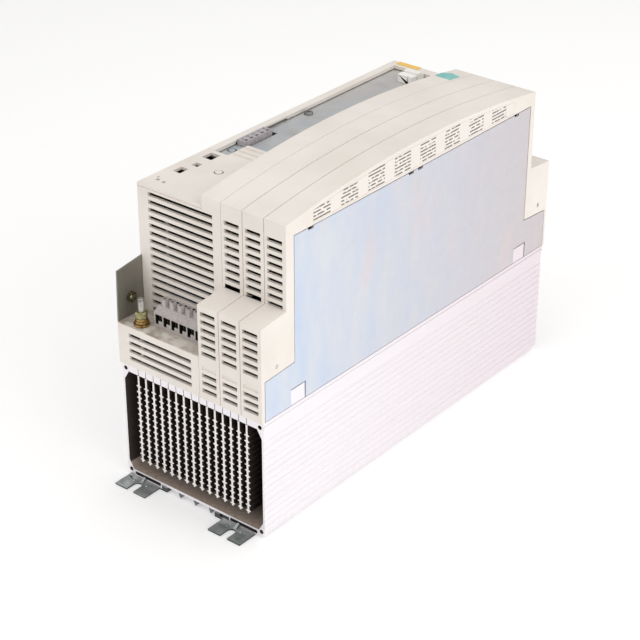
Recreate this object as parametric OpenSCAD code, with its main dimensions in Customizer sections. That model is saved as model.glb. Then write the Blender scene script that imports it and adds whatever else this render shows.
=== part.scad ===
// Servo drive of the 135 mm wide book-size class, lying on its mounting plane.
// X is the width, Y runs from the motor end (-Y) to the mains end (+Y) and
// Z runs from the mounting plane to the front. Millimetres throughout.

/* [Overall size] */
// Width of the drive
drive_w = 135; // [134:0.5:136]
// Length of the lower housing without the mounting brackets
base_len = 350; // [348:1:352]
// Length of the tall front section
tall_len = 297; // [294:1:300]
// Height of the crown of the arched front above the mounting plane
crown_z = 250; // [249:0.5:252]
// Rise of the arched front over its length
crown_rise = 11.5; // [8:0.5:14]

/* [Housing] */
// Thickness of the moulded walls
wall = 2.6; // [2.2:0.1:3]
// Width of one narrow front strip
strip_w = 19; // [18:0.5:19]
// Gap left at the seam between two strips
seam = 0.5; // [0.4:0.1:1]
// Height of the step that carries the terminals
shelf_z = 131; // [130:1:134]
// Height of the flat column front beside the arched strips
column_z = 231; // [230:0.5:232]

/* [Cooling] */
// Height of the joint between heat sink and housing
sink_top = 98; // [97:0.5:100]
// Length of the extruded heat sink
sink_len = 346; // [344:1:348]
// Number of cooling fins
fin_count = 15; // [9:2:15]
// Spacing of the cooling fins
fin_pitch = 7.35; // [7:0.05:7.4]
// Size of the square fan
fan_size = 80; // [76:1:80]
// Number of fan blades
blade_count = 7; // [5:1:9]

/* [Mounting] */
// Distance between the fixing slots across the width
slot_spacing_x = 92; // [90:1:94]
// Distance between the fixing slots along the length
slot_spacing_y = 363; // [362:1:366]
// Width of a fixing slot
slot_w = 6.5; // [5.5:0.5:7]
// Radius of the protective earth stud
stud_r = 2.5; // [2.5:0.5:3]

/* [Louvres] */
// Height of one louvre opening
louvre_h = 3.2; // [2:0.1:3.2]
// Spacing of the louvres
louvre_pitch = 6.06; // [5.8:0.02:6.2]

/* [Hidden] */
$fn = 48;
eps = 0.5;                       // overshoot of a cutting shape
fine_fn = 256;                   // for the long arc of the crown
half_w = drive_w / 2;
base_y = base_len / 2;
tall_y = tall_len / 2;
sink_y = sink_len / 2;
crown_r = (tall_y * tall_y + crown_rise * crown_rise) / (2 * crown_rise);
strips_x = half_w - 3 * strip_w; // left edge of the first strip
ridge_x = strips_x - 17.5;       // left edge of the arched part of the main cover
strip_shelf_in = 174.5;          // strip step height at the tall section
strip_shelf_out = 172;           // strip step height at the end
plate_t = 1.2;                   // sheet metal of the side plates
pocket_t = 1.4;                  // depth of the pocket a side plate lies in
plate_top = 228;
plate_bottom = 98.4;
plate_gap = 0.7;                 // clearance round the right side plate
hook_at = [-136, 138.5];
notch_at = [-122, -10, 1, 124];
notch_w = 6;
deck_z = 228.3;                  // underside of the column deck
rim_in = -60.8;                  // inner edge of the left rim
recess_near = -75;               // start of the panel recess
recess_far = 140;                // end of the panel recess
shield_top = 227.6;              // top of the shield plate
shield_t = 1;
// heat sink
sink_bottom = 1.5;
floor_top = 6.8;
floor_under = 4.8;               // underside of the raised middle of the floor
low_x = 32.8;                    // the low pads of the floor reach inwards to here
keel_x = [-14.4, 0.4, 15.2];     // three small keels under the raised middle
base_under = 91;
inner_x = 65.2;
corner_x = 61;
fin_half = 0.9;
fin_tip = 16.8;
tooth_pitch = 4.85;
tooth_reach = 1.45;
fin_end = 120;                   // fins stop short of the fan
// fan
fan_depth = 25;
fan_y = 138;
fan_z = 50;
fan_bore = fan_size / 2 - 2;
hub_r = 17;
shaft_r = 1.5;
shaft_play = 0.05;
fan_screw_at = 35.75;
// brackets
foot_w = 30;
foot_t = 1.5;
foot_end = 189.4;
slot_shift = -4;                 // the pair of slots sits a little left of the middle
slot_y = slot_spacing_y / 2;
// terminals
pole_pitch = 7.62;
pole_count = 6;
pole_x = -41.9;
comb_h = 11.2;                   // height of the row of wire chambers
guide_y = -155.6;
guide_h = 9.5;                   // height of the screwdriver guides
// control board
board_z = 203;
power_z = 124;                   // underside of the power board
board_t = 1.6;
plug_y0 = -51;
plug_y1 = -21;
plug_x0 = -60.4;
plug_x1 = -52;
plug_poles = 5;
// nut in the ear of the left plate
ear_y = -161.7;
ear_z = 146.2;
ear_nut_len = 3.6;
// stud
stud_x = -50.9;
stud_y = -167;

// ---- helpers -------------------------------------------------------------

module slab(x0, x1, y0, y1, z0, z1) {
    translate([x0, y0, z0]) cube([x1 - x0, y1 - y0, z1 - z0]);
}

// a shape drawn in Y and Z, from x0 to x1
module along_x(x0, x1) {
    translate([x0, 0, 0]) rotate([90, 0, 90]) linear_extrude(x1 - x0) children();
}

// a shape drawn in X and Z, from y0 to y1
module along_y(y0, y1) {
    translate([0, y1, 0]) rotate([90, 0, 0]) linear_extrude(y1 - y0) children();
}

// a cylinder along Y
module rod_y(x, z, r, y0, y1) {
    translate([x, y1, z]) rotate([90, 0, 0]) cylinder(h = y1 - y0, r = r);
}

// a cylinder along X
module rod_x(y, z, r, x0, x1) {
    translate([x0, y, z]) rotate([0, 90, 0]) cylinder(h = x1 - x0, r = r);
}

module both_ends() {
    children();
    mirror([0, 1, 0]) children();
}

// the area under the arched front, inset from the outside
module crown_disc(inset) {
    translate([0, crown_z - crown_r]) circle(r = crown_r - inset, $fn = fine_fn);
}

// side view of a strip: two low ends with steps and the arched tall middle
module strip_outline(inset, bottom) {
    intersection() {
        polygon([
            [-base_y + inset, bottom], [-base_y + inset, strip_shelf_out - inset],
            [-tall_y + inset, strip_shelf_in - inset], [-tall_y + inset, crown_z + eps],
            [tall_y - inset, crown_z + eps], [tall_y - inset, strip_shelf_in - inset],
            [base_y - inset, strip_shelf_out - inset], [base_y - inset, bottom],
        ]);
        crown_disc(inset);
    }
}

// a column of louvre openings cut through the end walls at y = +-at
module louvres(x0, x1, at, top, count, pitch) {
    for (i = [0:count - 1]) {
        slab(x0, x1, -at - eps, -at + wall + eps, top - i * pitch - louvre_h, top - i * pitch);
        slab(x0, x1, at - wall - eps, at + eps, top - i * pitch - louvre_h, top - i * pitch);
    }
}

// ---- cooling -------------------------------------------------------------

// outer side of the heat sink wall, bottom to top, with its fine ribs
rib_count = 14;
rib_pitch = 5.4;
rib_first = 10;
rib_h = 1.5;
wall_x = 66.7;
rib_x = 67.2;
function side_points(s) = [for (i = [0:rib_count - 1]) for (p = [
    [wall_x, 0], [rib_x, 0.25], [rib_x, rib_h - 0.25], [wall_x, rib_h],
]) [s * p[0], rib_first + i * rib_pitch + p[1]]];

module tunnel_section() {
    rail = [[wall_x, 91.2], [half_w - 0.1, 91.8], [half_w - 0.1, 94.2], [wall_x, 94.8],
            [wall_x, 95.4], [half_w - 0.1, 95.8], [half_w - 0.1, sink_top]];
    difference() {
        polygon(concat(
            [[64.4, sink_bottom], [66.7, 5.5]], side_points(1), rail,
            [for (i = [len(rail) - 1:-1:0]) [-rail[i][0], rail[i][1]]],
            [for (p = [len(side_points(-1)) - 1:-1:0]) side_points(-1)[p]],
            [[-66.7, 5.5], [-64.4, sink_bottom], [-low_x, sink_bottom], [-low_x, floor_under]],
            [for (x = keel_x) for (p = [[-2.2, floor_under], [0, 0.4], [2.2, floor_under]])
                [x + p[0], p[1]]],
            [[low_x, floor_under], [low_x, sink_bottom]]
        ));
        polygon([
            [-corner_x, floor_top], [corner_x, floor_top], [inner_x, 14], [inner_x, 84],
            [corner_x, base_under], [corner_x, sink_top + eps], [-corner_x, sink_top + eps],
            [-corner_x, base_under], [-inner_x, 84], [-inner_x, 14],
        ]);
        for (s = [-1, 1]) {
            translate([s * 63.6, 93.4]) circle(r = 1.7);
            translate([s * 63.5, 6.1]) circle(r = 1.7);
            hull() for (x = [35.15, 58.35]) translate([s * x, 4.05]) circle(r = 1.35);
        }
    }
}

module heatsink_tunnel() {
    color("gainsboro") along_y(-sink_y, sink_y) tunnel_section();
}

module fin_base_plate() {
    color("gainsboro") along_y(-sink_y, sink_y) difference() {
        translate([-corner_x, base_under]) square([2 * corner_x, sink_top - base_under]);
        for (i = [0:fin_count - 1])
            translate([fin_pitch * (i - (fin_count - 1) / 2) - 0.3, base_under - eps])
                square([0.6, 6]);
    }
}

// one fin seen from its end: a thin web with rounded teeth on both faces
tooth_count = floor((base_under - fin_tip - 2) / tooth_pitch);
function fin_side(s) = [for (i = [0:tooth_count - 1]) for (p = [
    [0, -1], [0.45, -0.6], [1, -0.35], [1, 0.35], [0.45, 0.6], [0, 1],
]) [s * (fin_half + tooth_reach * p[0]), fin_tip + 2.2 + i * tooth_pitch + p[1]]];
function reversed(v) = [for (i = [len(v) - 1:-1:0]) v[i]];

module cooling_fins() {
    color("whitesmoke") for (i = [0:fin_count - 1])
        translate([fin_pitch * (i - (fin_count - 1) / 2), 0, 0]) along_y(-sink_y, fin_end)
            polygon(concat(
                [[-fin_half, fin_tip + 0.4], [-0.35, fin_tip], [0.35, fin_tip], [fin_half, fin_tip + 0.4]],
                fin_side(1), [[fin_half, base_under], [-fin_half, base_under]], reversed(fin_side(-1))
            ));
}

module fan_holes(r) {
    for (sx = [-1, 1]) for (sz = [-1, 1])
        rod_y(sx * fan_screw_at, fan_z + sz * fan_screw_at, r, fan_y - eps, fan_y + fan_depth + 3);
}

module fan_frame() {
    strut_y0 = fan_y + 0.5;
    color([0.13, 0.13, 0.14]) difference() {
        union() {
            difference() {
                slab(-fan_size / 2, fan_size / 2, fan_y, fan_y + fan_depth,
                     fan_z - fan_size / 2, fan_z + fan_size / 2);
                rod_y(0, fan_z, fan_bore, fan_y - eps, fan_y + fan_depth + eps);
            }
            for (a = [45:90:315]) translate([0, 0, fan_z]) rotate([0, a, 0])
                slab(10, fan_bore + 1, strut_y0, strut_y0 + 3, -2, 2);
            rod_y(0, fan_z, hub_r, strut_y0, strut_y0 + 3);
            rod_y(0, fan_z, 4.5, strut_y0, fan_y + 18);
        }
        rod_y(0, fan_z, shaft_r + shaft_play, strut_y0 + 1.5, fan_y + 19);
        fan_holes(2.2);
    }
}

module fan_rotor() {
    rotor_y0 = fan_y + 5;
    rotor_y1 = fan_y + 22;
    color([0.16, 0.16, 0.17]) difference() {
        union() {
            rod_y(0, fan_z, hub_r, rotor_y0, rotor_y1);
            intersection() {
                for (i = [0:blade_count - 1]) translate([0, 0, fan_z])
                    rotate([0, i * 360 / blade_count, 0]) translate([0, rotor_y0 + 8, 0])
                        rotate([38, 0, 0]) slab(hub_r - 3, fan_bore, -0.7, 0.7, -10.5, 10.5);
                rod_y(0, fan_z, fan_bore - 1.2, rotor_y0, rotor_y1 - 0.5);
            }
        }
        difference() {
            rod_y(0, fan_z, hub_r - 2, rotor_y0 - eps, rotor_y1 - 2);
            rod_y(0, fan_z, shaft_r, rotor_y0 - 1, rotor_y1);
        }
    }
}

module fan_shroud() {
    color("silver") difference() {
        along_y(fan_y + fan_depth, fan_y + fan_depth + 2) polygon([
            [-corner_x, floor_top + 0.2], [corner_x, floor_top + 0.2], [inner_x - 0.2, 14.2],
            [inner_x - 0.2, 83.8], [corner_x - 0.2, base_under - 0.2],
            [-corner_x + 0.2, base_under - 0.2], [-inner_x + 0.2, 83.8], [-inner_x + 0.2, 14.2],
        ]);
        rod_y(0, fan_z, fan_bore, fan_y, fan_y + 40);
        fan_holes(2.2);
    }
}

module wire_ring(r, wire) {
    rotate([90, 0, 0]) rotate_extrude() translate([r, 0]) circle(r = wire, $fn = 16);
}

module fan_guard() {
    guard_y = fan_y + fan_depth + 4;
    wire = 0.9;
    color("silver") union() {
        for (r = [16, 24, 32, 39]) translate([0, guard_y, fan_z]) wire_ring(r, wire);
        for (a = [45:90:315]) translate([0, 0, fan_z]) rotate([0, a, 0])
            rod_x(guard_y, 0, wire, 14.5, fan_screw_at * sqrt(2) - 3.4);
        for (a = [45:90:315]) translate([0, 0, fan_z]) rotate([0, a, 0])
            translate([fan_screw_at * sqrt(2), guard_y, 0]) wire_ring(3.4, wire);
    }
}

module fan_screws() {
    y1 = fan_y + fan_depth + 2;
    color("dimgray") for (sx = [-1, 1]) for (sz = [-1, 1]) {
        x = sx * fan_screw_at;
        z = fan_z + sz * fan_screw_at;
        difference() {
            union() {
                rod_y(x, z, 2, fan_y + 3, y1 + 1);
                rod_y(x, z, 4.4, y1 + 3, y1 + 5);
                rod_y(x, z, 2.2, y1 + 1, y1 + 3);
            }
            slab(x - 2.6, x + 2.6, y1 + 4, y1 + 6, z - 0.5, z + 0.5);
            slab(x - 0.5, x + 0.5, y1 + 4, y1 + 6, z - 2.6, z + 2.6);
        }
    }
}

// ---- mounting brackets ---------------------------------------------------

// the bracket for the motor end, drawn about the centre line of its slot:
// a foot in front of the heat sink and a longer leaf that lies under it
module bracket(inboard) {
    leaf_end = -sink_y + 30;
    fold_y = -sink_y - 0.4;      // the plate rises in a low fold in front of the sink
    color("lightslategray") difference() {
        union() {
            slab(-foot_w / 2, foot_w / 2, -foot_end, leaf_end, 0, foot_t);
            scale([inboard, 1, 1])
                slab(foot_w / 2 - eps, foot_w / 2 + 7.6, -sink_y - 0.6, leaf_end, 0, foot_t);
            scale([inboard, 1, 1])
                slab(foot_w / 2 + 2.6, foot_w / 2 + 7.6, -sink_y - 0.6, -sink_y + 8, 0, 4.2);
            along_x(-foot_w / 2 + 0.4, foot_w / 2 - 0.4) polygon([
                [fold_y - 2.4, foot_t - 0.1], [fold_y, foot_t - 0.1], [fold_y, 2.4],
            ]);
            along_x(-1.2, 1.2) polygon([[fold_y - 4.4, foot_t - 0.1], [fold_y, foot_t - 0.1],
                                        [fold_y, 4.2]]);
            for (s = [-1, 1]) translate([s * 6.2, -slot_y + 3.4, foot_t - 0.1])
                cylinder(h = 0.7, r1 = 1.3, r2 = 0.7);
        }
        slab(-slot_w / 2, slot_w / 2, -foot_end - eps, -slot_y, -eps, foot_t + 1);
        translate([0, -slot_y, -eps]) cylinder(h = foot_t + 1, r = slot_w / 2);
    }
}

module bracket_motor_left() {
    translate([slot_shift - slot_spacing_x / 2, 0, 0]) bracket(1);
}

module bracket_motor_right() {
    translate([slot_shift + slot_spacing_x / 2, 0, 0]) bracket(-1);
}

module bracket_mains_left() {
    mirror([0, 1, 0]) bracket_motor_left();
}

module bracket_mains_right() {
    mirror([0, 1, 0]) bracket_motor_right();
}

// ---- housing -------------------------------------------------------------

// outline of a side plate in Y and Z, with its ears, hook windows and latch notches
module side_plate_outline(gap, ear) {
    difference() {
        union() {
            polygon([
                [-171 - gap, plate_bottom - gap], [-171 - gap, 129.5 + gap],
                [-139.5 - gap, 131.5 + gap], [-139.5 - gap, plate_top + gap],
                [142.5 + gap, plate_top + gap], [142.5 + gap, 131.5 + gap],
                [172 + gap, 129.5 + gap], [172 + gap, plate_bottom - gap],
            ]);
            if (ear) polygon([[-139, 131.3], [-base_y, 131.3], [-base_y + 1.2, 171], [-tall_y, 174.2],
                              [-139, 174.2]]);
        }
        if (gap == 0) {
            for (y = hook_at)
                translate([y, plate_bottom + 6.1]) square([16, 14], center = true);
            for (y = notch_at)
                translate([y - notch_w / 2, plate_top - 1.6]) square([notch_w, 3]);
        }
    }
}

// the rating label above the right side plate, following the arched front
module label_outline(gap) {
    intersection() {
        translate([-119.5 - gap, 230.5 - gap]) square([239 + 2 * gap, 30]);
        crown_disc(3.4 - gap);
    }
}

module blank_label() {
    color([0.93, 0.92, 0.90]) along_x(half_w - 0.3, half_w - 0.05) label_outline(0);
}

module lower_housing() {
    x1 = strips_x - seam / 2;
    color([0.91, 0.89, 0.85]) difference() {
        slab(-half_w, x1, -base_y, base_y, sink_top, shelf_z);
        slab(-half_w + wall + 0.6, x1 + eps, -base_y + wall, base_y - wall,
             sink_top - eps, shelf_z - wall);
        slab(-half_w + wall + 0.6, x1 + eps, -tall_y + 2 * wall, tall_y - 2 * wall,
             shelf_z - wall - eps, shelf_z + eps);
        louvres(-57, 2.8, base_y, 125.1, 4, 6.2);
        along_x(-half_w - eps, -half_w + pocket_t) side_plate_outline(0.4, false);
        both_ends() {
            slab(-44.4, strips_x, -164.2, -163.4, shelf_z - 0.8, shelf_z + eps);
            slab(-46.9, -46.4, -172, -165.2, shelf_z - 0.5, shelf_z + eps);
            for (p = [[-63, -172.2], [2.3, -172.4]])
                translate([p[0], p[1], shelf_z - 0.6]) cylinder(h = 2, r = 0.7);
        }
        translate([stud_x, stud_y, shelf_z - wall - eps]) cylinder(h = wall + 1, r = stud_r + 0.3);
    }
}

module main_cover() {
    x1 = strips_x - seam / 2;
    color([0.91, 0.89, 0.85]) difference() {
        union() {
            slab(-half_w, x1, -tall_y, tall_y, shelf_z, deck_z);
            slab(-half_w, x1, recess_near, tall_y, deck_z - eps, column_z);
            along_x(ridge_x, x1) intersection() {
                translate([-tall_y, shelf_z]) square([tall_len, crown_z - shelf_z]);
                crown_disc(0);
            }
        }
        slab(-half_w + wall + 0.6, x1 + eps, -tall_y + wall, tall_y - wall, shelf_z - eps, deck_z);
        slab(rim_in, ridge_x, recess_near, recess_far, deck_z - eps, column_z + eps);
        slab(-half_w + wall + 0.6, rim_in + eps, plug_y0 - 1, 6.5, deck_z - eps, deck_z + 1.2);
        along_x(ridge_x + wall, x1 + eps) intersection() {
            translate([-tall_y + wall, shelf_z]) square([tall_len - 2 * wall, crown_z - shelf_z]);
            crown_disc(wall);
        }
        louvres(-57.5, 2.5, tall_y, 226.3, 16, louvre_pitch);
        along_x(-half_w - eps, -half_w + pocket_t) side_plate_outline(0.4, false);
        along_x(-half_w - eps, -half_w + pocket_t)
            translate([-tall_y - eps, shelf_z]) square([12, 174.2 - shelf_z + 0.4]);
        badge_block(0.2, -2, 1);
    }
}

// the side wall is open behind the right side plate: a large panel that reaches the
// plate's upright edges, a hole behind each latch notch and a slit beside each hook
module side_opening(x0, x1) {
    slab(x0, x1, -139.5 - plate_gap, 142.5 + plate_gap, 136, plate_top - 5);
    for (y = [[-139.5 - plate_gap, -137], [140, 142.5 + plate_gap]])
        slab(x0, x1, y[0], y[1], 132, plate_top - 1);
    for (y = notch_at)
        slab(x0, x1, y - notch_w / 2, y + notch_w / 2, plate_top - 3, plate_top + plate_gap);
    for (y = hook_at) {
        slab(x0, x1, y + 6.9, y + 8, plate_bottom + 1, 111.5);
        slab(x0, x1, y - 8, y + 8, 110.7, 111.5);
    }
}

// one narrow front strip; a strip at the edge of the row has its own side wall
module strip_cover(index, left_wall, right_wall) {
    x0 = strips_x + index * strip_w + (left_wall ? 0 : seam / 2);
    x1 = strips_x + (index + 1) * strip_w - (right_wall ? 0 : seam / 2);
    slot_x0 = strips_x + index * strip_w + 2.4;
    slot_x1 = slot_x0 + 13.4;
    color([0.91, 0.89, 0.85]) difference() {
        along_x(x0, x1) strip_outline(0, sink_top);
        along_x(left_wall ? x0 + wall : x0 - eps, right_wall ? x1 - wall - 0.6 : x1 + eps)
            strip_outline(wall, sink_top - eps);
        louvres(slot_x0, slot_x1, tall_y, 226, 9, 6.02);
        louvres(slot_x0, slot_x1, base_y, 167.2, 6, 6.18);
        louvres(slot_x0, slot_x1, base_y, 118.7, 3, 6.02);
        // the fourth low opening is only a shallow mark
        both_ends() slab(slot_x0, slot_x1, -base_y - eps, -base_y + 0.9, 124.8 - louvre_h, 124.8);
        if (left_wall)
            slab(x0 - eps, x0 + wall + eps, -tall_y + 2 * wall, tall_y - 2 * wall,
                 sink_top - eps, crown_z - crown_rise - 2 * wall);
        if (right_wall) {
            along_x(half_w - pocket_t, half_w + eps) side_plate_outline(plate_gap, false);
            side_opening(x1 - wall - 1, half_w + eps);
            along_x(half_w - 0.3, half_w + eps) label_outline(0.2);
            for (p = [[-159, 137], [162, 138]]) rod_x(p[0], p[1], 1.8, half_w - 1.2, half_w + eps);
        }
    }
}

module strip_cover_1() {
    strip_cover(0, true, false);
}

module strip_cover_2() {
    strip_cover(1, false, false);
}

module strip_cover_3() {
    strip_cover(2, false, true);
}

// removable cover with socket windows and a finger grip
module grip_cover() {
    z0 = deck_z + 0.2;
    color([0.9, 0.87, 0.84]) difference() {
        union() {
            slab(-half_w, ridge_x - 0.3, -tall_y, recess_near - 0.2, z0, column_z);
            slab(-48, ridge_x - 0.3, recess_near - eps, -53, z0, column_z);
            slab(-48, -12, -132, -130, z0 - 4, z0 + eps);
            for (y = [-71, -64.5, -58])
                slab(-46, -9.5, y - 0.8, y + 0.8, column_z - eps, column_z + 1.2);
        }
        slab(-60.5, -51.5, -89, -79, z0 - eps, column_z + eps);
        slab(-60.5, -53.5, -119.5, -110.5, z0 - eps, column_z + eps);
        slab(-57, -51.4, -103.9, -98.3, z0 - eps, column_z + eps);
        for (y = [-71, -64.5, -58])
            slab(-44, -9.5, y + 0.8, y + 2.4, column_z - 0.9, column_z + 2);
        for (p = [[-58.4, -136.8, 1.6], [-52.3, -137.4, 1.6], [-61.2, -133.6, 1.1]])
            translate([p[0], p[1], z0 - eps]) cylinder(h = 4, r = p[2]);
        translate([-33.6, -101, column_z - 0.6]) difference() {
            cylinder(h = 1, r = 3.6);
            translate([0, 0, -eps]) cylinder(h = 2, r = 2.7);
            translate([0, 0, -eps]) cylinder(h = 2, r = 0.9);
        }
    }
}

module shield_plate() {
    z0 = shield_top - shield_t;
    color([0.70, 0.73, 0.76]) difference() {
        slab(-64, 7, recess_near - 3, recess_far + 3, z0, shield_top);
        slab(plug_x0 - 0.6, plug_x1 + 1.4, plug_y0 - 0.6, plug_y1 + 4, z0 - eps, shield_top + eps);
        for (p = shield_screw_at) translate([p[0], p[1], z0 - eps]) cylinder(h = 3, r = 2.2);
        translate([-56.5, -61, shield_top - 0.4]) difference() {
            cylinder(h = 1, r = 3.6);
            translate([0, 0, -eps]) cylinder(h = 2, r = 2.6);
        }
    }
}

// a pan head screw standing on z, with its cross recess
module pan_screw(head_r, head_h, shank_r, shank_len) {
    difference() {
        union() {
            cylinder(h = head_h * 0.6, r = head_r);
            translate([0, 0, head_h * 0.6]) cylinder(h = head_h * 0.4, r1 = head_r, r2 = head_r * 0.7);
            translate([0, 0, -shank_len]) cylinder(h = shank_len + 0.1, r = shank_r);
        }
        for (a = [0, 90]) rotate([0, 0, a])
            translate([0, 0, head_h]) cube([head_r * 1.1, 0.7, head_h], center = true);
    }
}

module shield_screws() {
    color("silver") for (p = shield_screw_at)
        translate([p[0], p[1], shield_top]) pan_screw(3.5, 2, 1.9, 8);
}

module side_plate_left() {
    color([0.72, 0.74, 0.74]) difference() {
        along_x(-half_w, -half_w + plate_t) side_plate_outline(0, true);
        rod_x(ear_y, ear_z, 3.2, -half_w - eps, -half_w + plate_t + eps);
    }
}

// clinch nut pressed into the ear, for the screw of the cable screen
module ear_nut() {
    color([0.45, 0.42, 0.30]) difference() {
        union() {
            rod_x(ear_y, ear_z, 3.2, -half_w, -half_w + plate_t);
            rod_x(ear_y, ear_z, 4, -half_w + plate_t, -half_w + ear_nut_len);
        }
        rod_x(ear_y, ear_z, 2.5, -half_w - eps, -half_w + ear_nut_len + eps);
    }
}

module side_plate_right() {
    color([0.80, 0.85, 0.90]) along_x(half_w - plate_t, half_w) side_plate_outline(0, false);
}

module plate_hooks() {
    color("gainsboro") for (s = [-1, 1]) for (y = hook_at)
        slab(s * (half_w - 0.8) - 0.6, s * (half_w - 0.8) + 0.6, y - 7.9, y + 6.9, plate_bottom, 110.6);
}

module side_screws() {
    color("gray") for (p = [[-159, 137], [162, 138]])
        translate([half_w - 1.2, p[0], p[1]]) rotate([0, 90, 0]) difference() {
            cylinder(h = 1, r = 1.6);
            translate([0, 0, 1]) cube([2.4, 0.5, 0.8], center = true);
        }
}

// white snap lever at the mains end of the recess, split by a narrow slit
module card_latch() {
    color("ivory") difference() {
        slab(-43, -29, 120.4, 127, shield_top, column_z + 3.3);
        slab(-34.2, -32.8, 120, 122.4, shield_top + 0.6, column_z + 4);
    }
}

// the block that the lever snaps against
module latch_block() {
    color("ivory") union() {
        slab(-42, -28.5, 127.3, 133, shield_top, column_z + 4.6);
        slab(-37, -31, 133 - eps, 139.4, shield_top, column_z + 0.8);
    }
}

module marker_strip() {
    color([0.94, 0.75, 0.31]) slab(-61, -40, 143, 148.2, column_z, column_z + 0.5);
}

// plain coloured corner piece let into the arched ridge
module badge_block(play, inset_low, inset_top) {
    intersection() {
        translate([0, 0, column_z + 1 - play])
            linear_extrude(crown_z + inset_top - column_z - 1 + play) polygon([
                [-5.6 - play, 118.4 - play], [8.7 + play, 118.4 - play], [8.3 + play, 131.8 + play],
                [-1.2, 135 + 1.3 * play], [ridge_x - play, 129.2],
            ]);
        along_x(ridge_x - 1, ridge_x + 18) difference() {
            crown_disc(inset_low);
            crown_disc(1.6 + play);
        }
    }
}

module badge() {
    color([0.45, 0.80, 0.76]) badge_block(0, -0.3, 0);
}

// ---- control plug --------------------------------------------------------

plug_z0 = 216;
plug_z1 = 231.8;
pole_y = (plug_y1 - plug_y0) / plug_poles;
plug_mid_x = (plug_x0 + plug_x1) / 2;

module control_plug() {
    color([0.80, 0.79, 0.78]) difference() {
        union() {
            slab(plug_x0, plug_x1, plug_y0, plug_y1, plug_z0, plug_z1);
            slab(plug_x0 + 1.2, plug_x1 - 1.2, plug_y0 + 1.2, plug_y1 - 1.2, plug_z0 - 8, plug_z0 + eps);
        }
        for (i = [0:plug_poles - 1]) {
            y = plug_y0 + (i + 0.5) * pole_y;
            translate([plug_mid_x, y, plug_z0 - 9]) cylinder(h = 12, r = 0.9);
            translate([plug_x0 + 2.5, y, plug_z1 - 4]) cylinder(h = 5, r = 1.5);
            slab(plug_x1 - 3.6, plug_x1 - 1, y - 1.7, y + 1.7, plug_z1 - 6, plug_z1 + eps);
        }
    }
}

module plug_screws() {
    color("silver") for (i = [0:plug_poles - 1])
        translate([plug_x0 + 2.5, plug_y0 + (i + 0.5) * pole_y, plug_z1 - 4]) difference() {
            cylinder(h = 2.6, r = 1.3);
            translate([0, 0, 2.6]) cube([3, 0.5, 1], center = true);
        }
}

module plug_header() {
    z0 = board_z + board_t;
    color([0.25, 0.27, 0.27]) difference() {
        slab(plug_x0, plug_x1, plug_y0, plug_y1, z0, plug_z0 - 0.4);
        slab(plug_x0 + 0.8, plug_x1 - 0.8, plug_y0 + 0.8, plug_y1 - 0.8, z0 + 2, plug_z0);
        for (i = [0:plug_poles - 1])
            translate([plug_mid_x, plug_y0 + (i + 0.5) * pole_y, z0 - eps]) cylinder(h = 4, r = 0.6);
    }
}

module header_pins() {
    color("gold") for (i = [0:plug_poles - 1])
        translate([plug_mid_x, plug_y0 + (i + 0.5) * pole_y, board_z + board_t])
            cylinder(h = 9.5, r = 0.55);
}

// ---- power terminals -----------------------------------------------------

// the comb of pole chambers, drawn for the motor end
module terminal_base() {
    x1 = pole_x + pole_count * pole_pitch;
    color([0.78, 0.76, 0.76]) difference() {
        slab(pole_x - 0.8, x1 + 0.8, -163, -tall_y - 0.6, shelf_z, shelf_z + comb_h);
        for (i = [0:pole_count - 1]) {
            x = pole_x + (i + 0.5) * pole_pitch;
            slab(x - 3.3, x - 0.3, -164, -151.5, shelf_z + 2.5, shelf_z + 10.2);
            slab(x + 0.3, x + 3.3, -164, -151.5, shelf_z + 5.5, shelf_z + 10.2);
            slab(x - 0.4, x + 0.4, -164, -161.8, shelf_z + 5.5, shelf_z + 10.2);
            translate([x, guide_y, shelf_z + 8.2]) cylinder(h = 5, r = 2.4);
        }
    }
}

// the sloped front of the block with one round screwdriver guide per pole
module terminal_cover() {
    x1 = pole_x + pole_count * pole_pitch;
    z0 = shelf_z + comb_h;
    color([0.82, 0.80, 0.80]) difference() {
        union() {
            along_x(pole_x - 0.8, x1 + 0.8) polygon([
                [-162.6, z0], [-162.6, z0 + 0.5], [-158, z0 + 3.7], [-tall_y - 0.6, z0 + 3.7],
                [-tall_y - 0.6, z0],
            ]);
            for (i = [0:pole_count - 1])
                translate([pole_x + (i + 0.5) * pole_pitch, guide_y, z0])
                    cylinder(h = guide_h, r = 2.6);
        }
        for (i = [0:pole_count - 1])
            translate([pole_x + (i + 0.5) * pole_pitch, guide_y, z0 - eps])
                cylinder(h = guide_h + 1, r = 1.8);
    }
}

module terminal_screws() {
    color("silver") for (i = [0:pole_count - 1])
        translate([pole_x + (i + 0.5) * pole_pitch, guide_y, shelf_z + 8.4]) difference() {
            cylinder(h = 2.6, r = 2.1);
            translate([0, 0, 2.6]) cube([5, 0.8, 1], center = true);
        }
}

module motor_terminal_base() {
    terminal_base();
}

module motor_terminal_cover() {
    terminal_cover();
}

module motor_terminal_screws() {
    terminal_screws();
}

module mains_terminal_base() {
    mirror([0, 1, 0]) terminal_base();
}

module mains_terminal_cover() {
    mirror([0, 1, 0]) terminal_cover();
}

module mains_terminal_screws() {
    mirror([0, 1, 0]) terminal_screws();
}

// ---- protective earth stud -----------------------------------------------

washer_t = 2;
nut_h = 5.2;
free_thread = 9.4;               // thread left above the nut for the earth lead
stack_z = shelf_z + 3 * washer_t;

module earth_stud() {
    color("silver") translate([stud_x, stud_y, 0]) union() {
        translate([0, 0, sink_top]) cylinder(h = 4, r = 4.5);
        translate([0, 0, sink_top + 3.9]) cylinder(h = stack_z + nut_h - sink_top - 3.9, r = stud_r - 0.4);
        translate([0, 0, stack_z + nut_h]) cylinder(h = free_thread, r = stud_r);
        translate([0, 0, stack_z + nut_h + free_thread]) cylinder(h = 0.8, r1 = stud_r, r2 = stud_r - 0.8);
    }
}

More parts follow.
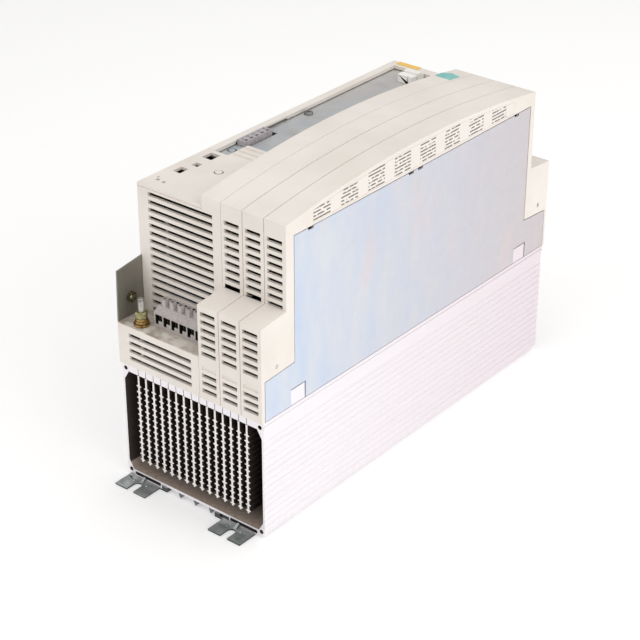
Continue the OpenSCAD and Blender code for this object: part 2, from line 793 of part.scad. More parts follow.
module earth_nut() {
    color("silver") translate([stud_x, stud_y, stack_z]) difference() {
        cylinder(h = nut_h, r = 8 / sqrt(3), $fn = 6);
        translate([0, 0, -eps]) cylinder(h = nut_h + 1, r = stud_r);
    }
}

// two plain washers with a spring washer on top
module earth_washers() {
    color([0.72, 0.58, 0.36]) translate([stud_x, stud_y, shelf_z])
        for (w = [[0, 6.0], [1, 5.0], [2, 4.5]])
            translate([0, 0, w[0] * washer_t]) difference() {
                cylinder(h = washer_t - 0.15, r = w[1]);
                translate([0, 0, -eps]) cylinder(h = washer_t + 1, r = stud_r + 0.2);
            }
}

// ---- electronics ---------------------------------------------------------

post_at = [[-58, -130], [2, -130], [2, 10], [-58, 134], [2, 134]];
shield_screw_at = [[-56, 26], [-20, 132]];
post_hole_r = 1.6;
post_pin_r = 1.4;

module control_board() {
    color([0.12, 0.38, 0.22]) difference() {
        slab(-63, 8, -141, 141, board_z, board_z + board_t);
        for (p = post_at) translate([p[0], p[1], board_z - eps]) cylinder(h = 3, r = post_hole_r);
    }
}

// posts between the heat sink, the two boards and the shield plate
module board_standoffs() {
    color("silver") {
        for (p = post_at) translate([p[0], p[1], 0]) union() {
            translate([0, 0, sink_top]) cylinder(h = power_z - sink_top, r = 2.6);
            translate([0, 0, power_z + board_t]) cylinder(h = board_z - power_z - board_t, r = 2.6);
            translate([0, 0, power_z - 1]) cylinder(h = board_z - power_z + board_t + 3, r = post_pin_r);
        }
        for (p = shield_screw_at)
            translate([p[0], p[1], board_z + board_t]) difference() {
                cylinder(h = shield_top - shield_t - board_z - board_t, r = 3.4);
                translate([0, 0, 10]) cylinder(h = 20, r = 2);
            }
    }
}

module processor_chips() {
    color([0.1, 0.1, 0.11]) {
        slab(-30, -2, -20, 8, board_z + board_t, board_z + board_t + 2.4);
        slab(-30, -10, 40, 60, board_z + board_t, board_z + board_t + 2);
        slab(-34, -22, 74, 96, board_z + board_t, board_z + board_t + 2);
        slab(-20, -4, 74, 96, board_z + board_t, board_z + board_t + 2);
    }
}

// sockets that stand under the windows of the grip cover
module signal_sockets() {
    color([0.16, 0.17, 0.18]) for (b = [[-61.5, -50.5, -90, -78], [-61.5, -52.5, -120.5, -109.5]])
        difference() {
            slab(b[0], b[1], b[2], b[3], board_z + board_t, board_z + board_t + 14);
            slab(b[0] + 1.4, b[1] - 1.4, b[2] + 1.4, b[3] - 1.4, board_z + 5, board_z + 20);
        }
}

module power_board() {
    color([0.12, 0.36, 0.22]) difference() {
        slab(-63, 63, -141, 141, power_z, power_z + board_t);
        for (p = post_at) translate([p[0], p[1], power_z - eps]) cylinder(h = 3, r = post_hole_r);
    }
}

module_boxes = [[-58, -4, -96, 26], [-40, 10, 50, 110]];

module module_body(b, top) {
    difference() {
        slab(b[0], b[1], b[2], b[3], sink_top, top);
        for (x = [b[0] + 5, b[1] - 5]) for (y = [b[2] + 5, b[3] - 5])
            translate([x, y, sink_top - eps]) cylinder(h = top, r = 2.8);
    }
}

module power_module() {
    color([0.85, 0.84, 0.8]) module_body(module_boxes[0], sink_top + 17);
}

module rectifier_module() {
    color([0.2, 0.2, 0.22]) module_body(module_boxes[1], sink_top + 15);
}

module module_screws() {
    color("silver") for (b = module_boxes) for (x = [b[0] + 5, b[1] - 5]) for (y = [b[2] + 5, b[3] - 5])
        translate([x, y, sink_top]) union() {
            cylinder(h = 18, r = 2.2);
            translate([0, 0, 17.6]) cylinder(h = 3.4, r = 4);
        }
}

cap_r = 17;
cap_h = 60;
cap_at = [for (y = [-105, -66, -27, 12]) [40, y]];

module bus_capacitors() {
    color([0.18, 0.2, 0.3]) for (p = cap_at)
        translate([p[0], p[1], power_z + board_t]) cylinder(h = cap_h, r = cap_r);
}

module capacitor_clamp() {
    z0 = power_z + board_t + 30;
    color([0.3, 0.3, 0.32]) difference() {
        slab(20, 60, -126, 33, z0, z0 + 6);
        for (p = cap_at) translate([p[0], p[1], z0 - eps]) cylinder(h = 8, r = cap_r + 0.4);
    }
}

module bus_bars() {
    color([0.78, 0.48, 0.3]) for (x = [12.5, 16.5])
        slab(x, x + 1.5, -110, 60, power_z + board_t, power_z + board_t + 16);
}

module current_sensors() {
    color([0.12, 0.2, 0.4]) for (x = [-53, -36, -19]) difference() {
        slab(x, x + 16, -134, -118, power_z + board_t, power_z + board_t + 20);
        rod_y(x + 8, power_z + board_t + 11, 4.5, -135, -117);
    }
}

module supply_transformer() {
    z0 = power_z + board_t;
    color([0.3, 0.28, 0.26]) union() {
        slab(-50, -14, 60, 96, z0, z0 + 8);
        slab(-50, -14, 60, 96, z0 + 24, z0 + 32);
        slab(-50, -42, 60, 96, z0, z0 + 32);
        slab(-22, -14, 60, 96, z0, z0 + 32);
        slab(-37, -27, 64, 92, z0 + 7.5, z0 + 24.5);
    }
}

module filter_choke() {
    z0 = power_z + board_t;
    color([0.72, 0.42, 0.2]) translate([38, 90, z0]) difference() {
        cylinder(h = 24, r = 22);
        translate([0, 0, -eps]) cylinder(h = 30, r = 10);
    }
}

// plug-in link between the power board and the control board
module board_connector() {
    z0 = power_z + board_t;
    color([0.2, 0.2, 0.2]) slab(-6, 0, -40, -5, z0, board_z);
}

heatsink_tunnel();
fin_base_plate();
cooling_fins();
fan_frame();
fan_rotor();
fan_shroud();
fan_guard();
fan_screws();
bracket_motor_left();
bracket_motor_right();
bracket_mains_left();
bracket_mains_right();
lower_housing();
main_cover();
strip_cover_1();
strip_cover_2();
strip_cover_3();
grip_cover();
shield_plate();
shield_screws();
side_plate_left();
ear_nut();
side_plate_right();
plate_hooks();
side_screws();
card_latch();
latch_block();
marker_strip();
blank_label();
badge();
control_plug();
plug_screws();
plug_header();
header_pins();
motor_terminal_base();
motor_terminal_cover();
motor_terminal_screws();
mains_terminal_base();
mains_terminal_cover();
mains_terminal_screws();
earth_stud();
earth_nut();
earth_washers();
control_board();
board_standoffs();
processor_chips();
signal_sockets();
power_board();
power_module();
rectifier_module();
module_screws();
bus_capacitors();
capacitor_clamp();
bus_bars();
current_sensors();
supply_transformer();
filter_choke();
board_connector();
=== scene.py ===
"""Looks of a book-size servo drive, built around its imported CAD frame."""

import logging
import math
from dataclasses import dataclass, field
from enum import Enum
from typing import Protocol

import bmesh
import bpy
from bmesh.types import BMEdge, BMesh, BMVert
from bpy.types import Material
from bpy.types import NodeSocket as Socket
from mathutils import Matrix, Vector


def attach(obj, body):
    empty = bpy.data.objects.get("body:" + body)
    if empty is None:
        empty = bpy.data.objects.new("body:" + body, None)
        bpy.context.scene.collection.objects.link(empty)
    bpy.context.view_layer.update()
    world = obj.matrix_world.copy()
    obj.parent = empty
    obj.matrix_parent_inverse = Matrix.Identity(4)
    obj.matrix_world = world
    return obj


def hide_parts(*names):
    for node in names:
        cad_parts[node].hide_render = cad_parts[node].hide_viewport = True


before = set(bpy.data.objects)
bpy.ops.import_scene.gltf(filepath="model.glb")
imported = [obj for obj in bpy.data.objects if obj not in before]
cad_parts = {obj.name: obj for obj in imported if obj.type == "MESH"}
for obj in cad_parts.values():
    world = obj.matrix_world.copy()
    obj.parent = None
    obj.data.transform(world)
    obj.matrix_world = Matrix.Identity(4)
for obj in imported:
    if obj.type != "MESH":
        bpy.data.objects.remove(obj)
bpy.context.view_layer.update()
LOG = logging.getLogger("servo_drive")
MM = 0.001
# A face counts as turned squarely to an axis from this share of its normal up.
SQUARE_ON = 0.7


# ---- small tools -------------------------------------------------------------


def linear(hex_colour: str) -> tuple[float, float, float, float]:
    """Turns an sRGB hex colour into the linear colour that shaders use.

    Args:
        hex_colour: colour such as "#E7E1D7".

    Returns:
        Linear red, green and blue, then full alpha.
    """
    parts = [int(hex_colour[i : i + 2], 16) / 255 for i in (1, 3, 5)]
    red, green, blue = (c / 12.92 if c <= 0.04045 else ((c + 0.055) / 1.055) ** 2.4 for c in parts)
    return red, green, blue, 1.0


def per_metre(size_mm: float) -> float:
    """Returns the texture scale that gives a pattern features of this size in millimetres."""
    return 1 / (size_mm * MM)


def add_node(
    tree: bpy.types.NodeTree, kind: str, inputs: dict | None = None, **settings: object
) -> bpy.types.Node:
    """Adds one shader node, sets it up and wires it.

    Args:
        tree: node tree that gets the node.
        kind: Blender's name of the node type.
        inputs: socket name or number to a plain value or to another node's output.
        settings: attributes of the node, set before its inputs.

    Returns:
        The new node.
    """
    node = tree.nodes.new(kind)
    for name, value in settings.items():
        setattr(node, name, value)
    for name, value in (inputs or {}).items():
        if isinstance(value, Socket):
            tree.links.new(value, node.inputs[name])
        else:
            node.inputs[name].default_value = value
    return node


class Canvas:
    """One material under construction: its tree, its shader and the patterns it is made from."""

    def __init__(self, name: str, roughness: float, metallic: float = 0.0) -> None:
        """Starts a material.

        Args:
            name: name of the material.
            roughness: typical roughness of the surface.
            metallic: 1 for bare metal, 0 for everything else.
        """
        self.material = bpy.data.materials.new(name)
        self.material.use_nodes = True
        self.tree = self.material.node_tree
        self.tree.nodes.clear()
        self.shader = add_node(
            self.tree,
            "ShaderNodeBsdfPrincipled",
            {"Roughness": roughness, "Metallic": metallic},
        )
        output = add_node(self.tree, "ShaderNodeOutputMaterial")
        self.tree.links.new(self.shader.outputs["BSDF"], output.inputs["Surface"])
        self.place = add_node(self.tree, "ShaderNodeTexCoord").outputs["Object"]

    def node(self, kind: str, inputs: dict | None = None, **settings: object) -> bpy.types.Node:
        """Adds a node to this material, as add_node does."""
        return add_node(self.tree, kind, inputs, **settings)

    def noise(self, size_mm: float, detail: float = 3.0) -> Socket:
        """Makes cloudy noise.

        Args:
            size_mm: size of its features in millimetres.
            detail: octaves of finer noise on top.

        Returns:
            The noise, from 0 to 1.
        """
        return self.node(
            "ShaderNodeTexNoise",
            {"Vector": self.place, "Scale": per_metre(size_mm), "Detail": detail},
        ).outputs["Fac"]

    def streaks(
        self, sizes_mm: tuple[float, float, float], detail: float = 2.0, scale: float = 1.0
    ) -> Socket:
        """Makes noise whose features have their own size along each axis.

        Args:
            sizes_mm: size of its features along X, Y and Z in millimetres.
            detail: octaves of finer noise on top.
            scale: factor on the fineness of the whole pattern.

        Returns:
            The noise, from 0 to 1.
        """
        stretched = self.node(
            "ShaderNodeMapping",
            {"Vector": self.place, "Scale": tuple(per_metre(size) for size in sizes_mm)},
        ).outputs["Vector"]
        return self.node(
            "ShaderNodeTexNoise", {"Vector": stretched, "Scale": scale, "Detail": detail}
        ).outputs["Fac"]

    def ramp(self, value: Socket, stops: list[tuple[float, float | str]]) -> Socket:
        """Maps a value to a colour.

        Args:
            value: pattern from 0 to 1.
            stops: positions, each with a hex colour or a grey level.

        Returns:
            The colour between the stops on either side of the value.
        """
        node = self.node("ShaderNodeValToRGB", {"Fac": value})
        elements = node.color_ramp.elements
        while len(elements) < len(stops):
            elements.new(0.5)
        for element, (position, colour) in zip(elements, stops, strict=True):
            element.position = position
            is_hex = isinstance(colour, str)
            element.color = linear(colour) if is_hex else (colour, colour, colour, 1)
        return node.outputs["Color"]

    def mix(self, share: Socket | float, low: Socket | str, high: Socket | str) -> Socket:
        """Mixes two colours, each a socket or a hex value.

        Args:
            share: how much of the second colour there is.
            low: colour where the share is 0.
            high: colour where the share is 1.

        Returns:
            The mixed colour.
        """
        values = [linear(c) if isinstance(c, str) else c for c in (low, high)]
        return self.node(
            "ShaderNodeMix",
            {0: share, 6: values[0], 7: values[1]},
            data_type="RGBA",
            blend_type="MIX",
        ).outputs[2]

    def math(self, operation: str, *values: Socket | float) -> Socket:
        """Returns the result of a math node on these values."""
        return self.node("ShaderNodeMath", dict(enumerate(values)), operation=operation).outputs[0]

    def paint(self, colour: Socket) -> None:
        """Wires a colour pattern into the shader."""
        self.tree.links.new(colour, self.shader.inputs["Base Color"])

    def roughen(self, value: Socket, low: float, high: float) -> None:
        """Wires a pattern into the roughness.

        Args:
            value: pattern from 0 to 1.
            low: roughness where it is 0.
            high: roughness where it is 1.
        """
        spread = self.node(
            "ShaderNodeMapRange", {"Value": value, "To Min": low, "To Max": high}
        ).outputs["Result"]
        self.tree.links.new(spread, self.shader.inputs["Roughness"])

    def emboss(self, height: Socket, depth_mm: float, strength: float = 0.6) -> None:
        """Wires a height pattern into the normal.

        Args:
            height: pattern from 0 to 1.
            depth_mm: real depth of the pattern in millimetres.
            strength: how much of the effect is kept.
        """
        bump = self.node(
            "ShaderNodeBump", {"Height": height, "Strength": strength, "Distance": depth_mm * MM}
        )
        self.tree.links.new(bump.outputs["Normal"], self.shader.inputs["Normal"])

    def box(self, **spans: tuple[float | None, float | None]) -> Socket:
        """Marks out a box.

        Args:
            spans: for x, y or z the low and high edge in millimetres, None where it is open.

        Returns:
            1 inside the box and 0 outside.
        """
        share = 1.0
        for name, edges in spans.items():
            value = self.axis(name.upper())
            for test, edge in zip(("GREATER_THAN", "LESS_THAN"), edges, strict=True):
                if edge is not None:
                    share = self.math("MULTIPLY", share, self.math(test, value, edge * MM))
        return share

    def axis(self, name: str) -> Socket:
        """Returns one coordinate of the place on the object, in metres: X, Y or Z."""
        return self.node("ShaderNodeSeparateXYZ", {"Vector": self.place}).outputs[name]

    def along(self, start_mm: float, end_mm: float) -> Socket:
        """Returns how far along the drive the place is, from 0 at the start to 1 at the end."""
        return self.node(
            "ShaderNodeMapRange",
            {"Value": self.axis("Y"), "From Min": start_mm * MM, "From Max": end_mm * MM},
        ).outputs["Result"]

    def facing(self, name: str, least: float = SQUARE_ON) -> Socket:
        """Tells the faces that are turned to an axis.

        Args:
            name: the axis: X, Y or Z.
            least: share of the normal along the axis that counts.

        Returns:
            1 on such a face, else 0.
        """
        normal = self.node("ShaderNodeTexCoord").outputs["Normal"]
        part = self.node("ShaderNodeSeparateXYZ", {"Vector": normal}).outputs[name]
        return self.math("GREATER_THAN", self.math("ABSOLUTE", part), least)


# ---- finishes ----------------------------------------------------------------


class Finish(Protocol):
    """A surface of one real material, which can be built into a shader."""

    def build(self) -> Material:
        """Returns the material."""


@dataclass(frozen=True)
class MouldedAbs:
    """Injection moulded ABS: a dull, even skin with fine spark texture, slightly uneven in tone."""

    name: str = "moulded_abs"
    light: str = "#E9E2DA"
    shade: str = "#E1D9D0"
    grime: str = "#B9AE9C"
    dirt: str = "#8A7A66"
    # Painted shade: the colour of the hollows of the shells.
    hollow_shade: str = "#3B332B"
    # Painted shade: the colour of the groove floors of the grip cover.
    groove: str = "#6F675E"
    shell: bool = True
    # The grooves of the grip cover: low and high edge of their floors, then the right end in X.
    groove_mm: tuple[float, float, float] = (229.9, 230.75, -8.0)
    # The terminal shelves: low and high edge, then the right end in X.
    shelf_mm: tuple[float, float, float] = (130.4, 131.3, 10.4)
    # The hollows of the shells: inner and outer edge in X, reach in Y, then low and high edge.
    hollows_mm: tuple[tuple[float, float, float, float, float], ...] = (
        (-64.7, 65.0, 146.1, 98.2, 228.0),
        (-64.7, 7.8, 172.6, 98.2, 128.6),
        (13.0, 65.0, 172.6, 98.2, 169.0),
    )
    roughness: float = 0.52
    grain_mm: float = 0.9
    cloud_mm: float = 46.0
    bump: float = 0.16

    def build(self) -> Material:
        """Returns the material."""
        canvas = Canvas(self.name, self.roughness)
        clouds = canvas.ramp(canvas.noise(self.cloud_mm), [(0.36, self.light), (0.66, self.shade)])
        # Specks of dust, drawn coarser than real ones so that they show at all.
        specks = canvas.ramp(canvas.noise(size_mm=2.2, detail=5.0), [(0.70, 0.0), (0.80, 0.35)])
        skin = canvas.mix(specks, clouds, self.grime)
        if self.shell:
            skin = canvas.mix(self.shelf_dirt(canvas), skin, self.dirt)
            # Painted shade: the hollows are painted dark brown for the shade that falls inside them.
            skin = canvas.mix(self.in_hollow(canvas), skin, self.hollow_shade)
            # Painted shade: the groove floors are painted dark grey.
            skin = canvas.mix(self.in_groove(canvas), skin, self.groove)
        canvas.paint(skin)
        # The spark texture is really 0.1 mm; at 0.9 mm it just breaks up the gloss.
        grain = canvas.noise(self.grain_mm, detail=1.0)
        canvas.emboss(grain, depth_mm=0.05, strength=self.bump)
        canvas.roughen(
            canvas.noise(self.cloud_mm / 3), self.roughness - 0.06, self.roughness + 0.08
        )
        return canvas.material

    def in_hollow(self, canvas: Canvas) -> Socket:
        """Tells the hollows of the shells from the rest.

        Args:
            canvas: material that gets the mask.

        Returns:
            1 inside the hollows, and 0 on the outside of the walls.
        """
        inside = 0.0
        for left, right, end, low, high in self.hollows_mm:
            hollow = canvas.box(x=(left, right), y=(-end, end), z=(low, high))
            inside = canvas.math("MAXIMUM", inside, hollow)
        return inside

    def in_groove(self, canvas: Canvas) -> Socket:
        """Tells the floors of the grooves in the grip cover, which are painted dark as shade.

        Args:
            canvas: material that gets the mask.

        Returns:
            1 on the floors, else 0.
        """
        low, high, right = self.groove_mm
        floors = canvas.box(x=(None, right), z=(low, high))
        return canvas.math("MULTIPLY", floors, canvas.facing("Z"))

    def shelf_dirt(self, canvas: Canvas) -> Socket:
        """Smears dirt on the terminal shelves.

        Args:
            canvas: material that gets the mask.

        Returns:
            How dirty the surface is, and 0 away from the shelves.
        """
        low, high, right = self.shelf_mm
        on_shelf = canvas.box(x=(None, right), z=(low, high))
        smears = canvas.ramp(canvas.noise(size_mm=9.0, detail=5.0), [(0.42, 0.15), (0.70, 0.8)])
        return canvas.math("MULTIPLY", smears, on_shelf)


@dataclass(frozen=True)
class ZincSheet:
    """Hot-dip galvanised sheet: bluish metal with drawn-out cloudy patches and faint spangle."""

    name: str = "zinc_sheet"
    base: str = "#C9D6E8"
    patch: str = "#D8DDE5"
    # Painted reflection: the tone the sheet is painted at its far end.
    far_reflection: str = "#D0CACD"
    blush: str = "#DCCECF"
    # Faces not turned up are painted dark, partly for the bare steel of sheared edges and partly as
    # painted shade on the flanks; and engravings, where they show.
    sheared_and_shaded: str = ""
    engraved: str = ""
    engraved_mm: tuple[float, float] = (227.0, 227.35)
    upturned: float = 0.35
    length_mm: float = 300.0
    roughness: float = 0.42
    metallic: float = 0.72
    streak_mm: tuple[float, float, float] = (24.0, 16.0, 60.0)
    spangle_mm: float = 5.0

    def build(self) -> Material:
        """Returns the material."""
        canvas = Canvas(self.name, self.roughness, self.metallic)
        drift = canvas.streaks(self.streak_mm)
        blush = canvas.ramp(
            canvas.streaks(self.streak_mm, detail=4.0, scale=0.8), [(0.56, 0.0), (0.74, 0.75)]
        )
        base = canvas.ramp(drift, [(0.32, self.base), (0.68, self.patch)])
        # Painted reflection: the sheet is painted bluish at one end and pinkish at the other, as the
        # room reflects in it.
        half = self.length_mm / 2
        base = canvas.mix(canvas.along(-half, half), base, self.far_reflection)
        base = canvas.mix(blush, base, self.blush)
        upward = canvas.facing("Z", self.upturned)
        # Painted shade in part: faces not turned up take the dark flank colour.
        if self.sheared_and_shaded:
            base = canvas.mix(upward, self.sheared_and_shaded, base)
        if self.engraved:
            floors = canvas.box(z=self.engraved_mm)
            base = canvas.mix(canvas.math("MULTIPLY", floors, upward), base, self.engraved)
        canvas.paint(base)
        # Spangle: the frozen zinc crystals, a few millimetres across.
        spangle = canvas.node(
            "ShaderNodeTexVoronoi",
            {"Vector": canvas.place, "Scale": per_metre(self.spangle_mm)},
        ).outputs["Color"]
        canvas.roughen(spangle, self.roughness - 0.05, self.roughness + 0.09)
        canvas.emboss(canvas.noise(size_mm=7.0, detail=2.0), depth_mm=0.05, strength=0.12)
        return canvas.material


@dataclass(frozen=True)
class ExtrudedAluminium:
    """Etched aluminium extrusion: pale satin metal with die lines along its length.

    The walls of the duct, its screw ports and its pockets are painted dark as shade, and the keels
    grey, while its cut ends stay bright.
    """

    name: str = "extruded_aluminium"
    bright: str = "#F3EFF2"
    shade: str = "#ECE8EC"
    far_shade: str = "#E9DFE4"
    # Painted shade: the colours of the duct, its floor and its flecks.
    duct_shade: str = "#392F2D"
    duct_floor_shade: str = "#B7A597"
    duct_shade_fleck: str = "#584A44"
    keel_shade: str = "#6C6E76"
    roughness: float = 0.48
    painted_shade_roughness: float = 0.8
    metallic: float = 0.55
    die_line_mm: tuple[float, float, float] = (0.8, 160.0, 0.8)
    # Where the painted shade along the drive starts and ends.
    far_shade_span_mm: tuple[float, float] = (-120.0, 165.0)
    # The duct: half its width, its low and high edge, and where its floor ends.
    duct_mm: tuple[float, float, float, float] = (65.6, 6.2, 91.3, 12.0)
    # The flat pockets that take the tongues of the feet: ends in X, then low and high edge.
    pocket_mm: tuple[float, float, float, float] = (33.7, 59.8, 2.6, 5.5)
    # The keels: half the width that they share, and their top.
    keel_mm: tuple[float, float] = (24.0, 4.75)
    port_x_mm: float = 63.55
    port_z_mm: tuple[float, float] = (6.1, 93.4)
    port_r_mm: float = 1.78

    def build(self) -> Material:
        """Returns the material."""
        canvas = Canvas(self.name, self.roughness, self.metallic)
        die_lines = canvas.streaks(self.die_line_mm)
        metal = canvas.ramp(die_lines, [(0.3, self.shade), (0.6, self.bright)])
        # Painted shade: the skin is painted a little greyer and pinker towards the mains end, where
        # the light falls off.
        metal = canvas.mix(canvas.along(*self.far_shade_span_mm), metal, self.far_shade)
        # Painted shade: the keels are painted grey.
        wide, tall = self.keel_mm
        keels = canvas.box(x=(-wide, wide), z=(None, tall))
        metal = canvas.mix(keels, metal, self.keel_shade)
        # Painted shade: the duct, the screw ports and the pockets are painted dark, except on the
        # cut ends.
        uncut = canvas.math("SUBTRACT", 1.0, canvas.facing("Y"))
        painted_shade = canvas.math("MULTIPLY", self.hollows(canvas), uncut)
        canvas.paint(canvas.mix(painted_shade, metal, self.duct_shade_colour(canvas)))
        bare = canvas.math("SUBTRACT", 1.0, painted_shade)
        metallic = canvas.math("MULTIPLY", bare, self.metallic)
        canvas.tree.links.new(metallic, canvas.shader.inputs["Metallic"])
        canvas.roughen(painted_shade, self.roughness, self.painted_shade_roughness)
        canvas.emboss(die_lines, depth_mm=0.04, strength=0.2)
        return canvas.material

    def duct_shade_colour(self, canvas: Canvas) -> Socket:
        """Colours the painted shade of the duct.

        Args:
            canvas: material that gets the pattern.

        Returns:
            The colour of the painted shade: paler on the floor, with flecks all over.
        """
        _, low, _, floor_end = self.duct_mm
        shade_colour = canvas.mix(canvas.box(z=(low, floor_end)), self.duct_shade, self.duct_floor_shade)
        flecks = canvas.ramp(canvas.noise(size_mm=3.0, detail=5.0), [(0.3, 0.0), (0.8, 0.4)])
        return canvas.mix(flecks, shade_colour, self.duct_shade_fleck)

    def hollows(self, canvas: Canvas) -> Socket:
        """Tells the duct, the screw ports and the pockets from the outside of the section.

        Args:
            canvas: material that gets the mask.

        Returns:
            1 inside a hollow and 0 outside.
        """
        half, low, high, _ = self.duct_mm
        start, end, pocket_low, pocket_high = self.pocket_mm
        inside = canvas.box(x=(-half, half), z=(low, high))
        parts = [self.in_port(canvas, port_z) for port_z in self.port_z_mm]
        for edges in ((-end, -start), (start, end)):
            parts.append(canvas.box(x=edges, z=(pocket_low, pocket_high)))
        for part in parts:
            inside = canvas.math("MAXIMUM", inside, part)
        return inside

    def in_port(self, canvas: Canvas, port_z_mm: float) -> Socket:
        """Tells the two screw ports at one height from the rest of the section.

        Args:
            canvas: material that gets the mask.
            port_z_mm: height of the ports' axes.

        Returns:
            1 inside a port and 0 outside.
        """
        across = canvas.math("ABSOLUTE", canvas.axis("X"))
        side = canvas.math("SUBTRACT", across, self.port_x_mm * MM)
        rise = canvas.math("SUBTRACT", canvas.axis("Z"), port_z_mm * MM)
        squares = [canvas.math("MULTIPLY", value, value) for value in (side, rise)]
        reach = canvas.math("SQRT", canvas.math("ADD", *squares))
        return canvas.math("LESS_THAN", reach, self.port_r_mm * MM)


@dataclass(frozen=True)
class FinAluminium:
    """Sawn fins: bright cut ends, and flanks painted dark as the shade inside the duct."""

    name: str = "fin_aluminium"
    cut: str = "#F4F1EF"
    scored: str = "#DDD8D5"
    fin_flank_shade: str = "#2B2321"
    fin_shade_fleck: str = "#483B36"
    roughness: float = 0.5
    cut_metallic: float = 0.35
    saw_mark_mm: tuple[float, float, float] = (30.0, 5.0, 0.7)

    def build(self) -> Material:
        """Returns the material."""
        canvas = Canvas(self.name, self.roughness)
        cut_end = canvas.facing("Y")
        saw_marks = canvas.streaks(self.saw_mark_mm)
        metal = canvas.ramp(saw_marks, [(0.3, self.scored), (0.62, self.cut)])
        # Painted shade: the flanks are painted near black, with lighter flecks.
        shade_colour = canvas.ramp(
            canvas.noise(size_mm=4.0, detail=4.0), [(0.3, self.fin_flank_shade), (0.85, self.fin_shade_fleck)]
        )
        canvas.paint(canvas.mix(cut_end, shade_colour, metal))
        metallic = canvas.math("MULTIPLY", cut_end, self.cut_metallic)
        canvas.tree.links.new(metallic, canvas.shader.inputs["Metallic"])
        canvas.emboss(saw_marks, depth_mm=0.05, strength=0.3)
        return canvas.material


@dataclass(frozen=True)
class MouldedPolyamide:
    """Glass-filled polyamide of terminals and clips: hard, faintly speckled, with a soft sheen."""

    name: str = "moulded_polyamide"
    light: str = "#BDB6B3"
    dark: str = "#AEA7A4"
    roughness: float = 0.42
    fleck_mm: float = 1.6
    chamber_shade: str = "#2A2522"
    # The clamp chambers, where there are any: ends in X, then their reach in Y and their top.
    chamber_mm: tuple[float, float, float, float] | None = None

    def build(self) -> Material:
        """Returns the material."""
        canvas = Canvas(self.name, self.roughness)
        flecks = canvas.noise(self.fleck_mm, detail=4.0)
        skin = canvas.ramp(flecks, [(0.35, self.dark), (0.6, self.light)])
        # Painted shade: the clamp chambers are painted near black.
        if self.chamber_mm:
            skin = canvas.mix(self.in_chamber(canvas), skin, self.chamber_shade)
        canvas.paint(skin)
        canvas.roughen(canvas.noise(size_mm=6.0), self.roughness - 0.06, self.roughness + 0.1)
        canvas.emboss(canvas.noise(self.fleck_mm / 2), depth_mm=0.04, strength=0.2)
        return canvas.material

    def in_chamber(self, canvas: Canvas) -> Socket:
        """Tells the clamp chambers, which are painted dark as shade.

        Args:
            canvas: material that gets the mask.

        Returns:
            1 in the chambers, else 0.
        """
        left, right, end, top = self.chamber_mm
        return canvas.box(x=(left, right), y=(-end, end), z=(None, top))


@dataclass(frozen=True)
class PlatedSteel:
    """Plated steel of screws, wire and studs: bright metal with rubbed, slightly stained patches."""

    name: str = "plated_steel"
    bright: str = "#D8D8D4"
    stain: str = "#9C978E"
    roughness: float = 0.28
    patch_mm: float = 3.0

    def build(self) -> Material:
        """Returns the material."""
        canvas = Canvas(self.name, self.roughness, 1.0)
        patches = canvas.noise(self.patch_mm, detail=4.0)
        canvas.paint(canvas.ramp(patches, [(0.4, self.bright), (0.75, self.stain)]))
        canvas.roughen(patches, self.roughness - 0.06, self.roughness + 0.18)
        canvas.emboss(canvas.noise(self.patch_mm / 4), depth_mm=0.03, strength=0.2)
        return canvas.material


class RuleLayout(Enum):
    """How a printed film is laid out."""

    PLAIN = "plain"
    RULED = "ruled"


@dataclass(frozen=True)
class PrintedFilm:
    """Polyester film: smooth and slightly glossy, plain or printed with blank ruled lines."""

    name: str = "printed_film"
    base: str = "#E2DAD2"
    tone: str = "#E8E1DA"
    ink: str = "#6A635D"
    layout: RuleLayout = RuleLayout.PLAIN
    roughness: float = 0.34
    # The rules: their spacing, the length of a dash, and how much of the spacing is ink.
    line_mm: float = 2.6
    dash_mm: float = 3.5
    ink_share: float = 0.42
    dash_threshold: float = 0.40
    # The blocks that the rules stand in: their spacing, and how much of it they fill.
    block_mm: float = 30.0
    block_share: float = 0.62

    def build(self) -> Material:
        """Returns the material."""
        canvas = Canvas(self.name, self.roughness)
        film = canvas.mix(canvas.noise(size_mm=20.0), self.base, self.tone)
        if self.layout is RuleLayout.RULED:
            film = canvas.mix(self.rules(canvas), film, self.ink)
        canvas.paint(film)
        canvas.roughen(canvas.noise(size_mm=9.0), self.roughness - 0.05, self.roughness + 0.07)
        canvas.emboss(canvas.noise(size_mm=12.0), depth_mm=0.03, strength=0.2)
        return canvas.material

    def rules(self, canvas: Canvas) -> Socket:
        """Draws short blank rules in blocks along the film.

        Args:
            canvas: material that gets the pattern.

        Returns:
            1 on the ink and 0 beside it.
        """
        along = canvas.math("DIVIDE", canvas.axis("Y"), self.block_mm * MM)
        in_block = canvas.math("LESS_THAN", canvas.math("FRACT", along), self.block_share)
        up = canvas.math("DIVIDE", canvas.axis("Z"), self.line_mm * MM)
        on_line = canvas.math("LESS_THAN", canvas.math("FRACT", up), self.ink_share)
        # The film is flat, so the size across it doesn't matter as long as it is large.
        breaks = canvas.streaks((1000.0, self.dash_mm, self.line_mm), detail=0.0)
        kept = canvas.math("GREATER_THAN", breaks, self.dash_threshold)
        return canvas.math("MULTIPLY", in_block, canvas.math("MULTIPLY", on_line, kept))


